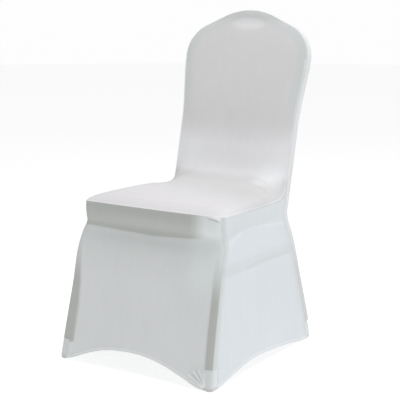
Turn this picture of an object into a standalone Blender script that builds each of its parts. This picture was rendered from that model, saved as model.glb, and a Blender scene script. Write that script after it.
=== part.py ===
"""Fitted stretch cover for a banquet chair with a crown-shaped back, as it stands pulled over the chair.

The chair itself is left out, so the cover is hollow and open at the floor. Its pieces are the top panel
(seat and inside back in one), three skirt panels, the outside back and a cup for each foot.
The front faces -Y, +X is to the right seen from the front, and the feet stand on Z = 0.
"""

import math
from collections import namedtuple

import bmesh
import bpy
import numpy as np
from mathutils import Vector

# Cloth
CLOTH = 0.0012  # thickness of one layer
SEAM_GAP = 0.0003  # space between two pieces along their seam

# Seat
PINCH_HEIGHT = 0.368  # where the cloth is drawn in under the cushion
FRONT_SEAM_HEIGHT = 0.4245  # middle of the front seat seam
JOIN_HEIGHT = 0.435  # where the side seam of the seat reaches the back

# Back: a board that leans, seen from the front as straight sides under a crown
BACK_FOOT_DEPTH = 0.3930  # depth of the front face of the back at BACK_FOOT_HEIGHT
BACK_FOOT_HEIGHT = 0.480
BACK_LEAN = 0.234  # depth gained for each metre of height
BACK_THICKNESS = 0.0350
BACK_PADDING = 0.0060  # how far the inside back swells forward
WAIST_HALF_WIDTH = 0.1893
SHOULDER_HALF_WIDTH = 0.2025
WAIST_HEIGHT, SHOULDER_HEIGHT = 0.620, 0.800  # the sides widen between these
SHOULDER_RADIUS = 0.100
CREST_HEIGHT = 0.9295
CREST_HALF_WIDTH = 0.084  # half the span of the hump between its two straight slopes
CROWN_SLOPE = math.radians(24.4)
EDGE_SWELL = 0.0050  # how far the edge of the back bulges past its front outline
EDGE_WRAP = 0.0200  # width of the rounding from the edge on to the rear face

# Skirt
CORNER_FLAT = 0.0100  # flat strip beside each rounded leg corner, as wide as the foot cup
HEM_LOW = 0.0030  # height of a hem where it reaches a foot
CUP_DEPTH = 1.25  # how far the inner side of a foot cup runs back from its outer side, by its width

# Facets: columns across the front and rear, along a side and round the back's edge, then rows
FRONT_COLUMNS = 20
SIDE_COLUMNS = 14
WRAP_COLUMNS = 3
ARC_COLUMNS = 2  # columns in half of a rounded corner, followed by one flat column
BACK_ROWS = 14
CUP_ROWS = 2  # the lowest rows of the skirt, as high as the foot cups
BAND_ROWS = 4  # rows between the seat seam and the pinch
# Share of the drop from the pinch to the hem at each lower row
DROP_SHARES = (0.0, 0.045, 0.10, 0.20, 0.32, 0.44, 0.56, 0.68, 0.78, 0.86, 0.93, 1.0)
SKIRT_ROWS = BAND_ROWS + len(DROP_SHARES) - 1
REAR_ROWS = SKIRT_ROWS + BACK_ROWS
CUP_COLUMNS = ARC_COLUMNS + 1  # columns of a skirt panel that one foot cup takes
CUP_BACK_FACETS = 7
FREE_SHARE = 1 - 2 * CUP_COLUMNS / FRONT_COLUMNS  # share of the front panel between its two feet
COLUMN_CROWDING = 1.35  # how much closer a side's columns are near the back
ROW_CROWDING = 1.25  # and the rows of the back near the seat
CURVE_STEPS = 400  # steps that a table is read in
SHARP_TURN = math.radians(40)  # facets that meet at more than this keep a hard edge
WELD = 1e-6
TANGENT_STEP = 1e-4

Corner = namedtuple("Corner", "height half_width depth reach")
# The sharp corner that the cloth rounds at each front leg, and how far from it the rounding starts
FRONT_CORNER = (
    Corner(0.0000, 0.2465, -0.0900, 0.014),
    Corner(0.0800, 0.2419, -0.0733, 0.014),
    Corner(0.2000, 0.2368, -0.0438, 0.014),
    Corner(0.3200, 0.2321, -0.0140, 0.014),
    Corner(0.3480, 0.2290, -0.0020, 0.016),
    Corner(0.3680, 0.2225, 0.0010, 0.022),
    Corner(0.3850, 0.2240, -0.0035, 0.028),
    Corner(0.4050, 0.2245, -0.0060, 0.030),
    Corner(0.4350, 0.2230, -0.0045, 0.030),
)
RearCorner = namedtuple("RearCorner", "height half_width depth")
# The sharp corner at each rear leg
REAR_CORNER = (
    RearCorner(0.0000, 0.2415, 0.4625),
    RearCorner(0.0800, 0.2335, 0.4465),
    RearCorner(0.2000, 0.2210, 0.4210),
    RearCorner(0.3220, 0.2075, 0.3950),
    RearCorner(0.3500, 0.2035, 0.3875),
    RearCorner(0.3720, 0.2000, 0.3890),
    RearCorner(0.4000, 0.1965, 0.4035),
    RearCorner(0.4350, 0.1943, 0.4175),
)
Bow = namedtuple("Bow", "height outward")
# How far the middle of a skirt panel stands out from the line between its corners
SKIRT_BOW = (
    Bow(0.00, -0.006),
    Bow(0.12, -0.003),
    Bow(0.30, 0.000),
    Bow(0.37, -0.001),
    Bow(0.40, 0.004),
    Bow(0.43, 0.003),
)
Seam = namedtuple("Seam", "share height")
# Height of the seam along the side of the seat, by the share of its length from the front corner
SIDE_SEAM = (
    Seam(0.00, FRONT_SEAM_HEIGHT),
    Seam(0.10, 0.4225),
    Seam(0.35, 0.4178),
    Seam(0.70, 0.4117),
    Seam(0.92, 0.4160),
    Seam(0.97, 0.4230),
    Seam(1.00, JOIN_HEIGHT),
)
# Height of the seat along its middle, by the same share
SEAT_CROWN = (
    Seam(0.00, 0.4370),
    Seam(0.08, 0.4400),
    Seam(0.20, 0.4435),
    Seam(0.45, 0.4460),
    Seam(0.80, 0.4420),
    Seam(1.00, 0.4390),
)
# Height of each hem: across the front and the rear from one foot (-1) to the other (1), and along a
# side from the front foot (0) to the rear foot (1)
FRONT_HEM = (
    Seam(-1.00, HEM_LOW),
    Seam(-0.90, 0.0095),
    Seam(-0.72, 0.0260),
    Seam(-0.47, 0.0435),
    Seam(-0.20, 0.0510),
    Seam(0.10, 0.0510),
    Seam(0.40, 0.0400),
    Seam(0.70, 0.0200),
    Seam(0.90, 0.0055),
    Seam(1.00, HEM_LOW),
)
SIDE_HEM = (
    Seam(0.00, HEM_LOW),
    Seam(0.17, 0.0150),
    Seam(0.36, 0.0262),
    Seam(0.56, 0.0245),
    Seam(0.80, 0.0130),
    Seam(0.95, 0.0040),
    Seam(1.00, HEM_LOW),
)
REAR_HEM = (
    Seam(-1.00, HEM_LOW),
    Seam(-0.70, 0.0240),
    Seam(0.00, 0.0480),
    Seam(0.70, 0.0240),
    Seam(1.00, HEM_LOW),
)
Bridge = namedtuple("Bridge", "place width reach")
# Where the cloth spans the inside corner of seat and back: across the seat from -1 to 1, and its size
BRIDGES = (
    Bridge(-0.90, 0.14, 0.035),
    Bridge(0.84, 0.20, 0.075),
)
CREASE_REACH = 0.028  # and its size along the rest of the crease
BRIDGE_RISE = 0.35  # how far the spanning cloth leaves the corner, by its reach
BRIDGE_WAY = (0, -0.62, 0.78)

# Powers that shape the top panel: a higher one keeps it level until nearer its edge
SIDE_EDGE_POWER = 8
FRONT_EDGE_POWER = 12
ROUNDING_POWER = 0.35
SEAM_BLEND_POWER = 3  # how soon the panel leaves the line of the front seam
PADDING_POWER = 4  # how near the crease the seat starts to move forward with the padding
REAR_PULL = 0.010  # how far the tight rear hem is drawn forward between the rear feet

PIECES = ("top_panel", "front_skirt", "side_skirt_right", "side_skirt_left", "back_panel")
TOP, FRONT, RIGHT, LEFT, BACK = range(len(PIECES))
CUP = len(PIECES)  # marks the faces that the foot cups take the place of
KEEP, MIRROR = np.array((1.0, 1.0, 1.0)), np.array((-1.0, 1.0, 1.0))  # right side as built, left side

# Colour and roughness of each kind of piece
SEAT_CLOTH = ((0.76, 0.75, 0.77), 0.70)
SKIRT_CLOTH = ((0.66, 0.69, 0.69), 0.75)
CUP_CLOTH = ((0.72, 0.75, 0.75), 0.80)


def curve(table, key, field):
    """A smooth function through one column of a table, by another column."""
    places = np.array([getattr(row, key) for row in table])
    values = np.array([getattr(row, field) for row in table])
    slopes = np.gradient(values, places)
    fine = np.linspace(places[0], places[-1], CURVE_STEPS)
    left = np.clip(np.searchsorted(places, fine) - 1, 0, len(places) - 2)
    step = places[left + 1] - places[left]
    s = (fine - places[left]) / step
    smooth = (
        (1 + 2 * s) * (1 - s) ** 2 * values[left]
        + s * (1 - s) ** 2 * step * slopes[left]
        + s**2 * (3 - 2 * s) * values[left + 1]
        - s**2 * (1 - s) * step * slopes[left + 1]
    )
    return lambda place: float(np.interp(place, fine, smooth))


front_width = curve(FRONT_CORNER, "height", "half_width")
front_depth = curve(FRONT_CORNER, "height", "depth")
front_reach = curve(FRONT_CORNER, "height", "reach")
rear_width = curve(REAR_CORNER, "height", "half_width")
rear_depth = curve(REAR_CORNER, "height", "depth")
skirt_bow = curve(SKIRT_BOW, "height", "outward")
side_seam = curve(SIDE_SEAM, "share", "height")
seat_crown = curve(SEAT_CROWN, "share", "height")
front_hem = curve(FRONT_HEM, "share", "height")
side_hem = curve(SIDE_HEM, "share", "height")
rear_hem = curve(REAR_HEM, "share", "height")


def point(x, y, z):
    return np.array((x, y, z))


UP = point(0, 0, 1)


def unit(vector):
    return vector / np.linalg.norm(vector)


def bend(start, corner, end, share):
    """Point at a share of the way round a rounded corner."""
    return (1 - share) ** 2 * start + 2 * share * (1 - share) * corner + share**2 * end


def loose_bend(start, start_handle, end_handle, end, share):
    """Point at a share of the way along a curve that leaves and arrives in the direction of its handles."""
    return (1 - share) * bend(start, start_handle, end_handle, share) + share * bend(
        start_handle, end_handle, end, share
    )


def step_up(share):
    share = min(max(share, 0.0), 1.0)
    return share * share * (3 - 2 * share)


# The back's outline, as half width by height and as height by half width


def board_depth(height):
    return BACK_FOOT_DEPTH + BACK_LEAN * (height - BACK_FOOT_HEIGHT)


def crown_line(half_width):
    """Height of the straight slope of the crown, which runs on past both of its ends."""
    crest_rise = CREST_HALF_WIDTH * math.tan(CROWN_SLOPE / 2)
    return CREST_HEIGHT - crest_rise + (CREST_HALF_WIDTH - half_width) * math.tan(CROWN_SLOPE)


SHOULDER_CENTRE_X = SHOULDER_HALF_WIDTH - SHOULDER_RADIUS
SHOULDER_CENTRE_Z = crown_line(SHOULDER_CENTRE_X) - SHOULDER_RADIUS / math.cos(CROWN_SLOPE)
SHOULDER_TURN = math.radians(30)  # where on the shoulder's arc the side ends and the crown begins
SHOULDER_X = SHOULDER_CENTRE_X + SHOULDER_RADIUS * math.cos(SHOULDER_TURN)
SHOULDER_Z = SHOULDER_CENTRE_Z + SHOULDER_RADIUS * math.sin(SHOULDER_TURN)
SLOPE_END = SHOULDER_CENTRE_X + SHOULDER_RADIUS * math.sin(CROWN_SLOPE)


def board_half_width(height):
    if height > SHOULDER_CENTRE_Z:
        return SHOULDER_CENTRE_X + math.sqrt(SHOULDER_RADIUS**2 - (height - SHOULDER_CENTRE_Z) ** 2)
    rise = (height - WAIST_HEIGHT) / (SHOULDER_CENTRE_Z - WAIST_HEIGHT)
    return WAIST_HALF_WIDTH + (SHOULDER_HALF_WIDTH - WAIST_HALF_WIDTH) * step_up(rise)


def crown_height(x):
    x = abs(x)
    if x < CREST_HALF_WIDTH:
        radius = CREST_HALF_WIDTH / math.sin(CROWN_SLOPE)
        return CREST_HEIGHT - radius + math.sqrt(radius**2 - x**2)
    if x < SLOPE_END:
        return crown_line(x)
    return SHOULDER_CENTRE_Z + math.sqrt(SHOULDER_RADIUS**2 - (x - SHOULDER_CENTRE_X) ** 2)


# The skirt, level by level


def rear_seam(height):
    """Where the side skirt meets the outside back, on the right."""
    if height >= JOIN_HEIGHT:
        return point(board_half_width(height), board_depth(height), height)
    blend = step_up((height - PINCH_HEIGHT) / (JOIN_HEIGHT - PINCH_HEIGHT))
    inset = EDGE_SWELL * blend
    return point(rear_width(height) - inset, rear_depth(height) - BACK_THICKNESS, height)


def front_point(u, height):
    """Point of the front panel: u runs from -1 to 1 between the middles of its rounded corners."""
    half_width, depth, reach = front_width(height), front_depth(height), front_reach(height)
    arc = 2 * ARC_COLUMNS / FRONT_COLUMNS
    q = abs(u)
    corner = point(half_width, depth, height)
    start = corner - point(reach, 0, 0)
    if q > 1 - arc:
        end = corner + reach * unit(rear_seam(height) - corner)
        place = bend(start, corner, end, 0.5 * (q - 1 + arc) / arc)
    elif q > FREE_SHARE:
        place = start - point(CORNER_FLAT * (1 - arc - q) / (1 - arc - FREE_SHARE), 0, 0)
    else:
        inner = half_width - reach - CORNER_FLAT
        share = q / FREE_SHARE
        place = point(inner * share, depth - skirt_bow(height) * (1 - share**2), height)
    return place * point(math.copysign(1, u), 1, 1)


def side_share(s):
    """Share of the free cloth of a side panel from the front foot: columns are closer near the back."""
    start = CUP_COLUMNS / SIDE_COLUMNS
    return 1 - (1 - max(0, s - start) / (1 - start)) ** COLUMN_CROWDING


def side_point(s, height):
    """Point of the right side panel: s runs from 0 at the front seam to 1 at the rear seam."""
    reach = front_reach(height)
    corner = point(front_width(height), front_depth(height), height)
    far = rear_seam(height)
    along = unit(far - corner)
    arc, flat = ARC_COLUMNS / SIDE_COLUMNS, 1 / SIDE_COLUMNS
    if s < arc:
        return bend(corner - point(reach, 0, 0), corner, corner + reach * along, 0.5 + 0.5 * s / arc)
    start = corner + reach * along
    if s < arc + flat:
        return start + CORNER_FLAT * (s - arc) / flat * along
    start = start + CORNER_FLAT * along
    share = side_share(s)
    return start + share * (far - start) + point(4 * skirt_bow(height) * share * (1 - share), 0, 0)


def row_height(row, top, hem):
    """Height of a row of the skirt: the band under the seat seam, then the drop to the hem."""
    if row <= BAND_ROWS:
        return top + (PINCH_HEIGHT - top) * row / BAND_ROWS
    drop = np.interp(row - BAND_ROWS, range(len(DROP_SHARES)), DROP_SHARES)
    return PINCH_HEIGHT + (hem - PINCH_HEIGHT) * float(drop)


def front_skirt(u, row):
    return front_point(u, row_height(row, FRONT_SEAM_HEIGHT, front_hem(u / FREE_SHARE)))


def side_skirt(s, row):
    return side_point(s, row_height(row, side_seam(s), side_hem(side_share(s))))


# The top panel


def column_share(u):
    """How far a column stands from the middle, as a share of the half width."""
    return front_point(u, side_seam(0))[0] / front_point(1, side_seam(0))[0]


def back_row_share(v):
    return (v - 1) ** ROW_CROWDING


def top_side(v):
    """The right edge of the top panel: v from 0 to 1 beside the seat, from 1 to 2 beside the back."""
    if v <= 1:
        return side_skirt(v, 0)
    return rear_seam(JOIN_HEIGHT + (SHOULDER_Z - JOIN_HEIGHT) * back_row_share(v))


def bridge_reach(across):
    spans = (b.reach * math.exp(-(((across - b.place) / b.width) ** 2)) for b in BRIDGES)
    return CREASE_REACH + sum(spans)


def top_panel(u, v):
    """Seat for v from 0 to 1, inside back for v from 1 to 2."""
    across = column_share(u)
    side = top_side(v)
    place = side * point(across, 1, 1)
    inside = 1 - abs(across) ** SIDE_EDGE_POWER
    crease = top_side(1)
    if v <= 1:
        place += (front_skirt(u, 0) - top_side(0) * point(across, 1, 1)) * (1 - v) ** SEAM_BLEND_POWER
        rise = seat_crown(v) - side[2]
        place[2] += rise * inside**ROUNDING_POWER * (1 - (1 - v) ** FRONT_EDGE_POWER)
        gap = crease[1] - place[1]
        place[1] -= BACK_PADDING * inside * v**PADDING_POWER
    else:
        lift = (crown_height(across * SHOULDER_X) - SHOULDER_Z) * back_row_share(v)
        raised = step_up(2 - v) * (seat_crown(1) - crease[2]) * inside**ROUNDING_POWER
        height = side[2] + lift + raised
        swell = BACK_PADDING * inside * (1 - (v - 1) ** SIDE_EDGE_POWER)
        place = point(place[0], board_depth(height) - swell, height)
        gap = height - crease[2] - raised
    reach = bridge_reach(across)
    span = BRIDGE_RISE * reach * max(0, 1 - gap / reach) ** 2 * math.sqrt(inside)
    return place + span * point(*BRIDGE_WAY)


# The outside back: a strip wrapped round the edge, then the rear face


def rim_point(p):
    """The edge that the outside back starts from: p from 0 at the right hem to 1 at the seat,
    to 2 at the shoulder, to 3 at the other shoulder."""
    if p <= 1:
        return side_skirt(1, SKIRT_ROWS * (1 - p))
    if p <= 2:
        return top_side(p)
    return top_panel(1 - 2 * (p - 2), 2)


def wrap_frame(p):
    """Seam point, control corner and rear border of the wrapped strip at one place of the edge."""
    seam = rim_point(p)
    tangent = unit(rim_point(min(p + TANGENT_STEP, 3)) - rim_point(max(p - TANGENT_STEP, 0)))
    lean = step_up((seam[2] - PINCH_HEIGHT) / (JOIN_HEIGHT - PINCH_HEIGHT))
    rearward = unit(point(0, 1, -BACK_LEAN * lean))
    outward = np.cross(rearward, tangent)
    outward = unit(outward if p > 1 else point(1, 0, 0))
    corner = seam + EDGE_SWELL * lean * outward + BACK_THICKNESS * rearward
    return seam, corner, corner - EDGE_WRAP * outward


def wrap(p, w):
    seam, corner, border = wrap_frame(p)
    return bend(seam, corner, border, w)


def rear_face(u, p):
    """Point of the rear face: p from 0 at the hem to 1 at the seat, to 2 at the shoulder."""
    across = column_share(u)
    border = wrap(p, 1)
    place = border * point(across, 1, 1)
    if p <= 1:
        place[2] += (rear_hem(across) - HEM_LOW) * (1 - p) ** 2
        place[1] -= REAR_PULL * (1 - across**2) * (1 - p) ** 3
    else:
        top, corner = wrap(2.5 - u / 2, 1), wrap(2, 1)
        ruled = corner * point(across, 1, 1)
        place += (top - ruled) * back_row_share(p)
    return place


# Meshes


def add_grid(cover, label, columns, rows, place, flip=False, in_cup=None):
    """Adds a grid of faces to the whole cover, each marked with the piece that it belongs to."""
    verts = [[cover.verts.new(place(i, j)) for j in range(rows + 1)] for i in range(columns + 1)]
    for i in range(columns):
        for j in range(rows):
            corners = [verts[i][j], verts[i][j + 1], verts[i + 1][j + 1], verts[i + 1][j]]
            face = cover.faces.new(corners[::-1] if flip else corners)
            face.material_index = CUP if in_cup and in_cup(i, j) else label


def column_place(i):
    return 2 * i / FRONT_COLUMNS - 1


def top_row_place(k):
    return k / SIDE_COLUMNS if k <= SIDE_COLUMNS else 1 + (k - SIDE_COLUMNS) / BACK_ROWS


def rim_place(m):
    if m <= SKIRT_ROWS:
        return m / SKIRT_ROWS
    if m <= REAR_ROWS:
        return 1 + (m - SKIRT_ROWS) / BACK_ROWS
    return 2 + (m - REAR_ROWS) / FRONT_COLUMNS


def add_side(cover, label, mirror):
    """One side skirt, and the strip of the outside back that wraps round the edge beside it."""
    left = mirror is MIRROR
    cup_row = SKIRT_ROWS - CUP_ROWS
    add_grid(
        cover,
        label,
        SIDE_COLUMNS,
        SKIRT_ROWS,
        lambda k, j: side_skirt(k / SIDE_COLUMNS, j) * mirror,
        flip=left,
        in_cup=lambda k, j: j >= cup_row and k < CUP_COLUMNS,
    )
    add_grid(
        cover,
        BACK,
        WRAP_COLUMNS,
        REAR_ROWS,
        lambda w, m: wrap(rim_place(m), w / WRAP_COLUMNS) * mirror,
        flip=not left,
        in_cup=lambda w, m: m < CUP_ROWS,
    )


def whole_cover():
    """One welded surface, so that neighbouring pieces share their normals along a seam."""
    cover = bmesh.new()
    top_rows = SIDE_COLUMNS + BACK_ROWS
    add_grid(
        cover,
        TOP,
        FRONT_COLUMNS,
        top_rows,
        lambda i, k: top_panel(column_place(i), top_row_place(k)),
        flip=True,
    )
    free_columns = range(CUP_COLUMNS, FRONT_COLUMNS - CUP_COLUMNS)
    add_grid(
        cover,
        FRONT,
        FRONT_COLUMNS,
        SKIRT_ROWS,
        lambda i, j: front_skirt(column_place(i), j),
        in_cup=lambda i, j: j >= SKIRT_ROWS - CUP_ROWS and i not in free_columns,
    )
    add_side(cover, RIGHT, KEEP)
    add_side(cover, LEFT, MIRROR)
    add_grid(
        cover,
        BACK,
        WRAP_COLUMNS,
        FRONT_COLUMNS,
        lambda w, i: wrap(rim_place(REAR_ROWS + i), w / WRAP_COLUMNS),
        flip=True,
    )
    add_grid(cover, BACK, FRONT_COLUMNS, REAR_ROWS, lambda i, m: rear_face(column_place(i), rim_place(m)))
    bmesh.ops.remove_doubles(cover, verts=cover.verts, dist=WELD)
    cover.normal_update()
    return cover


def seam_pulls(faces, label):
    """The edges where a piece ends, and how far each of their points is drawn in to leave the seam's gap."""
    rim, pulls = [], {}
    for face in faces:
        for loop in face.loops:
            others = [other for other in loop.edge.link_faces if other is not face]
            if others and others[0].material_index == label:
                continue
            ends = (loop.vert, loop.link_loop_next.vert)
            rim.append(ends)
            inward = face.normal.cross(ends[1].co - ends[0].co).normalized()
            gap = 0.0
            if others:
                gap = SEAM_GAP if others[0].material_index == CUP else SEAM_GAP / 2
            for vert in ends:
                pulls.setdefault(vert, []).append((inward, gap))
    return rim, pulls


def thicken(cover, label):
    """One piece of the cover as a closed solid: outer skin, inner skin and the rim between them."""
    faces = [face for face in cover.faces if face.material_index == label]
    rim, pulls = seam_pulls(faces, label)
    mesh = bmesh.new()
    outer, inner = {}, {}
    for vert in {vert for face in faces for vert in face.verts}:
        place = vert.co.copy()
        if vert in pulls:
            meeting = pulls[vert]
            drawn = sum((inward * gap for inward, gap in meeting), Vector())
            place += drawn / (1 + meeting[0][0].dot(meeting[-1][0]))
        outer[vert] = mesh.verts.new(place)
        inner[vert] = mesh.verts.new(place - vert.normal * CLOTH * vert.calc_shell_factor())
    for face in faces:
        mesh.faces.new([outer[vert] for vert in face.verts])
        mesh.faces.new([inner[vert] for vert in reversed(face.verts)])
    for first, second in rim:
        mesh.faces.new([outer[second], outer[first], inner[first], inner[second]])
    return mesh


def cup_loop(height, front):
    """Outline of a right foot cup at one height: round the leg corner, then back behind it."""
    if front:
        outer = [front_point(u, height) for u in np.linspace(FREE_SHARE, 1, CUP_COLUMNS + 1)]
        outer += [side_point(k / SIDE_COLUMNS, height) for k in range(1, CUP_COLUMNS + 1)]
        corner = point(front_width(height), front_depth(height), height)
    else:
        seam = rear_seam(height)
        corner = seam + point(0, BACK_THICKNESS, 0)
        border = corner - point(EDGE_WRAP, 0, 0)
        outer = [bend(seam, corner, border, w / WRAP_COLUMNS) for w in range(WRAP_COLUMNS + 1)]
    first, last = outer[0], outer[-1]
    handles = (last + CUP_DEPTH * (first - corner), first + CUP_DEPTH * (last - corner))
    shares = np.linspace(0, 1, CUP_BACK_FACETS + 1)[1:-1]
    return outer + [loose_bend(last, *handles, first, share) for share in shares]


def drawn_in(loop, distance):
    """A level outline moved inwards by the thickness of its wall."""
    inset = []
    for i, place in enumerate(loop):
        before, after = unit(place - loop[i - 1]), unit(loop[(i + 1) % len(loop)] - place)
        outward = unit(np.cross(before + after, UP))
        square = float(np.dot(outward, np.cross(after, UP)))
        inset.append(place - outward * distance / square)
    return inset


def cup(front, mirror):
    """A foot cup: wall and flat sole, open on top."""
    top = row_height(SKIRT_ROWS - CUP_ROWS, JOIN_HEIGHT, HEM_LOW) - SEAM_GAP
    mesh = bmesh.new()
    loops = []
    # Up the outer side of the wall, then down its inner side on to the sole
    levels = (0.0, top / 2, top)
    for height, wall in [(level, 0.0) for level in levels] + [(level, CLOTH) for level in levels[::-1]]:
        loop = cup_loop(height, front)
        if wall:
            loop = drawn_in(loop, wall)
        floor = max(height, wall)
        loops.append([mesh.verts.new(point(x, y, floor) * mirror) for x, y, _ in loop])
    for lower, upper in zip(loops, loops[1:]):
        for i in range(len(lower)):
            n = (i + 1) % len(lower)
            mesh.faces.new([lower[i], lower[n], upper[n], upper[i]])
    mesh.faces.new(loops[0])
    mesh.faces.new(loops[-1])
    bmesh.ops.recalc_face_normals(mesh, faces=mesh.faces)
    return mesh


def cloth_material(name, colour, roughness):
    material = bpy.data.materials.new(name)
    material.use_nodes = True
    shader = material.node_tree.nodes["Principled BSDF"]
    shader.inputs["Base Color"].default_value = (*colour, 1)
    shader.inputs["Roughness"].default_value = roughness
    shader.inputs["Metallic"].default_value = 0
    return material


def add_object(name, mesh, cloth, shift):
    bmesh.ops.translate(mesh, verts=mesh.verts, vec=shift)
    data = bpy.data.meshes.new(name)
    mesh.to_mesh(data)
    mesh.free()
    data.shade_smooth()
    data.set_sharp_from_angle(angle=SHARP_TURN)
    data.materials.append(cloth_material(name, *cloth))
    bpy.context.scene.collection.objects.link(bpy.data.objects.new(name, data))


def main():
    for old in list(bpy.data.objects):
        bpy.data.objects.remove(old, do_unlink=True)
    cover = whole_cover()
    solids = {name: thicken(cover, label) for label, name in enumerate(PIECES)}
    cover.free()
    for end, front in (("front", True), ("rear", False)):
        for side, mirror in (("right", KEEP), ("left", MIRROR)):
            solids[f"foot_pocket_{end}_{side}"] = cup(front, mirror)
    depths = [vert.co.y for mesh in solids.values() for vert in mesh.verts]
    shift = Vector((0, -(min(depths) + max(depths)) / 2, 0))
    for name, mesh in solids.items():
        cloth = SEAT_CLOTH if name == PIECES[TOP] else CUP_CLOTH if "pocket" in name else SKIRT_CLOTH
        add_object(name, mesh, cloth, shift)


main()
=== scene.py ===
"""Looks of a fitted stretch cover for a banquet chair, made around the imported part.

The cover is one welded surface, so that pieces share their shape along a seam. It is made from the same
sizes as the solids, with finer facets, then given its folds, seams and hems, and cut into its pieces.
Depths are counted from the front seat seam, as in the part's source, and moved into the frame at the end.
"""

import math
from collections import namedtuple

import bmesh
import bpy
import numpy as np
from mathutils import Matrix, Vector
from mathutils.kdtree import KDTree


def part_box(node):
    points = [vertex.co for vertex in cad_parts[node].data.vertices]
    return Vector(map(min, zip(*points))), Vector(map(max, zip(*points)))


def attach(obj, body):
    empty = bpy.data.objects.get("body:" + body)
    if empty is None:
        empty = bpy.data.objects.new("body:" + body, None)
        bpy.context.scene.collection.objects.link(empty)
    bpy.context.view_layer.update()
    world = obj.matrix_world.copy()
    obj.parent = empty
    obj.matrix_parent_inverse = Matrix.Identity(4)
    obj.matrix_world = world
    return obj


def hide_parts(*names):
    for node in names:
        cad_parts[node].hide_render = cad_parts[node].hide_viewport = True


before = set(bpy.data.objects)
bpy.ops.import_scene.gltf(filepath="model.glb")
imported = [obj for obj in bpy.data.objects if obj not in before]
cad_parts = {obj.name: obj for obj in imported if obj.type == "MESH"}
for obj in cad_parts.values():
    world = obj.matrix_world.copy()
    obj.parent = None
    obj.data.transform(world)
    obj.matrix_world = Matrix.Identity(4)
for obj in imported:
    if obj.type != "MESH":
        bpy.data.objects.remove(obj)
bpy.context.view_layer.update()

# Cloth
CLOTH = 0.0012  # thickness of one layer
SEAM_GAP = 0.0001  # space between two pieces along their seam

# Seat
PINCH_HEIGHT = 0.368  # where the cloth is drawn in under the cushion
FRONT_SEAM_HEIGHT = 0.4245  # middle of the front seat seam
JOIN_HEIGHT = 0.435  # where the side seam of the seat reaches the back

# Back: a board that leans, seen from the front as straight sides under a crown
BACK_FOOT_DEPTH = 0.3930  # depth of the front face of the back at BACK_FOOT_HEIGHT
BACK_FOOT_HEIGHT = 0.480
BACK_LEAN = 0.234  # depth gained for each metre of height
BACK_THICKNESS = 0.0350
BACK_PADDING = 0.0060  # how far the inside back swells forward
WAIST_HALF_WIDTH = 0.1893
SHOULDER_HALF_WIDTH = 0.2025
WAIST_HEIGHT = 0.620  # the sides widen from here up to the shoulder
SHOULDER_RADIUS = 0.100
CREST_HEIGHT = 0.9295
CREST_HALF_WIDTH = 0.084  # half the span of the hump between its two straight slopes
CROWN_SLOPE = math.radians(24.4)
EDGE_SWELL = 0.0050  # how far the edge of the back bulges past its front outline
EDGE_WRAP = 0.0200  # width of the rounding from the edge on to the rear face

# Skirt
CORNER_FLAT = 0.0100  # flat strip beside each rounded leg corner, as wide as the foot cup
HEM_LOW = 0.0030  # height of a hem where it reaches a foot
CUP_DEPTH = 1.25  # how far the inner side of a foot cup runs back from its outer side, by its width

# Facets: columns across the front and rear, along a side and round the back's edge, then rows
FRONT_COLUMNS = 20
SIDE_COLUMNS = 14
WRAP_COLUMNS = 3
ARC_COLUMNS = 2  # columns in half of a rounded corner, followed by one flat column
BACK_ROWS = 14
CUP_ROWS = 2  # the lowest rows of the skirt, as high as the foot cups
BAND_ROWS = 4  # rows between the seat seam and the pinch
# Share of the drop from the pinch to the hem at each lower row
DROP_SHARES = (0.0, 0.045, 0.10, 0.20, 0.32, 0.44, 0.56, 0.68, 0.78, 0.86, 0.93, 1.0)
SKIRT_ROWS = BAND_ROWS + len(DROP_SHARES) - 1
REAR_ROWS = SKIRT_ROWS + BACK_ROWS
CUP_COLUMNS = ARC_COLUMNS + 1  # columns of a skirt panel that one foot cup takes
FREE_SHARE = 1 - 2 * CUP_COLUMNS / FRONT_COLUMNS  # share of the front panel between its two feet
COLUMN_CROWDING = 1.35  # how much closer a side's columns are near the back
ROW_CROWDING = 1.25  # and the rows of the back near the seat
CURVE_STEPS = 400  # steps that a table is read in
SHARP_TURN = math.radians(50)  # facets that meet at more than this keep a hard edge
WELD = 1e-6
TANGENT_STEP = 1e-4


def table_of(kind, *values):
    """A table with one record for each tuple of values."""
    return tuple(kind(*row) for row in values)


Corner = namedtuple("Corner", "height half_width depth reach")
# The sharp corner that the cloth rounds at each front leg, and how far from it the rounding starts
FRONT_CORNER = table_of(
    Corner,
    (0.0000, 0.2465, -0.0900, 0.014), (0.0800, 0.2419, -0.0733, 0.014),
    (0.2000, 0.2368, -0.0438, 0.014), (0.3200, 0.2321, -0.0140, 0.014),
    (0.3480, 0.2290, -0.0020, 0.016), (0.3680, 0.2225, 0.0010, 0.022),
    (0.3850, 0.2240, -0.0035, 0.028), (0.4050, 0.2245, -0.0060, 0.030),
    (0.4350, 0.2230, -0.0045, 0.030),
)
RearCorner = namedtuple("RearCorner", "height half_width depth")
# The sharp corner at each rear leg
REAR_CORNER = table_of(
    RearCorner,
    (0.0000, 0.2415, 0.4625), (0.0800, 0.2335, 0.4465), (0.2000, 0.2210, 0.4210),
    (0.3220, 0.2075, 0.3950), (0.3500, 0.2035, 0.3875), (0.3720, 0.2000, 0.3890),
    (0.4000, 0.1965, 0.4035), (0.4350, 0.1943, 0.4175),
)
Bow = namedtuple("Bow", "height outward")
# How far the middle of a skirt panel stands out from the line between its corners
SKIRT_BOW = table_of(
    Bow,
    (0.00, -0.006), (0.12, -0.003), (0.30, 0.000), (0.37, -0.001), (0.40, 0.004), (0.43, 0.003),
)
Seam = namedtuple("Seam", "share height")
# Height of the seam along the side of the seat, by the share of its length from the front corner
SIDE_SEAM = table_of(
    Seam,
    (0.00, FRONT_SEAM_HEIGHT), (0.10, 0.4225), (0.35, 0.4178), (0.70, 0.4117), (0.92, 0.4160),
    (0.97, 0.4230), (1.00, JOIN_HEIGHT),
)
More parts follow.
